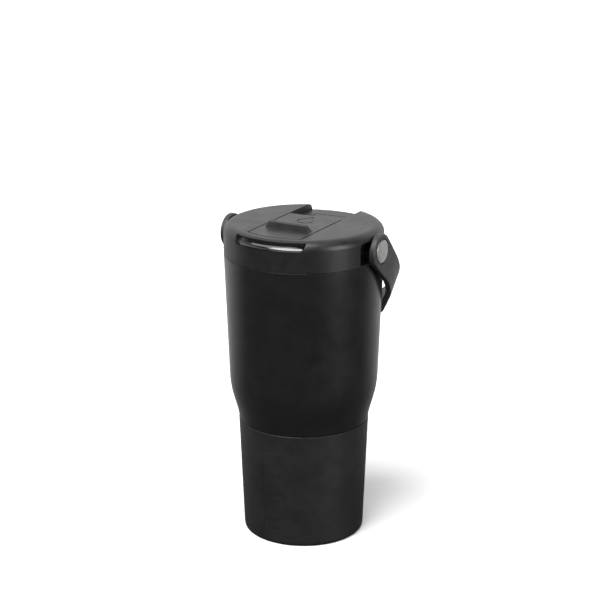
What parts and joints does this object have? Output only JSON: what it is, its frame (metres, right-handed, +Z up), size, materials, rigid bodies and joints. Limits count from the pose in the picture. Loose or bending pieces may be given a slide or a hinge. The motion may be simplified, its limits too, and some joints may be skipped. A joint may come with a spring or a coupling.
{
  "type": "insulated travel mug",
  "caption": "Vacuum insulated travel mug with a moulded base boot, a screw-on lid with a flip drinking plate, and a swinging carry bail.",
  "frame": {"origin": "centre of the foot, on the surface that the mug stands on", "axes": "+Z up along the cup's axis, -Y towards the drinking side of the lid, X along the bail's pivot axis"},
  "size_m": [0.1042, 0.1137, 0.1962],
  "materials": {
    "boot_rubber": "fine matte moulded",
    "black_silicone": "matte",
    "black_powder_coat": "satin powder coat",
    "stainless_steel": "brushed",
    "satin_steel": "satin, face turned",
    "seal_glass": "fused bead",
    "matte_black_plastic": "fine spark-eroded texture",
    "gloss_black_plastic": "polished",
    "strap_plastic": "soft satin",
    "insert_brass": "machined",
    "bush_nylon": "plain"
  },
  "bodies": {
    "cup": {"base_boot": "boot_rubber", "foot_pad": "black_silicone", "outer_shell": "black_powder_coat", "inner_vessel": "stainless_steel", "shell_base_disc": "stainless_steel", "vacuum_seal_cap": "seal_glass", "vacuum_getter": "stainless_steel"},
    "seal": {"lid_gasket": "black_silicone"},
    "lid": {"lid_shell": "matte_black_plastic", "lid_core": "gloss_black_plastic", "lid_liner": "gloss_black_plastic", "liner_seal": "black_silicone", "hinge_pin": "stainless_steel", "hinge_cover": "matte_black_plastic", "pivot_bolt_left": "satin_steel", "pivot_bolt_right": "satin_steel", "pivot_insert_left": "insert_brass", "pivot_insert_right": "insert_brass"},
    "flip": {"flip_plate": "matte_black_plastic", "spout_stopper": "black_silicone", "vent_stopper": "black_silicone"},
    "bail": {"handle_strap": "strap_plastic", "pivot_bush_left": "bush_nylon", "pivot_bush_right": "bush_nylon"}
  },
  "joints": [
    {"name": "lid_rise", "type": "slide", "parent": "cup", "child": "seal", "axis": [0, 0, 1], "range_m": [0, 0.036]},
    {"name": "lid_turn", "type": "hinge", "parent": "seal", "child": "lid", "pos_m": [0, 0, 0.1743], "axis": [0, 0, 1], "range_deg": [0, 1080]},
    {"name": "flip_open", "type": "hinge", "parent": "lid", "child": "flip", "pos_m": [0, 0.0135, 0.1885], "axis": [-1, 0, 0], "range_deg": [0, 118]},
    {"name": "bail_swing", "type": "hinge", "parent": "lid", "child": "bail", "pos_m": [0, 0, 0.181], "axis": [1, 0, 0], "range_deg": [0, 267]}
  ],
  "couplings": [
    {"joint": "lid_rise", "follows": "lid_turn", "m_per_rad": 0.0019099}
  ]
}
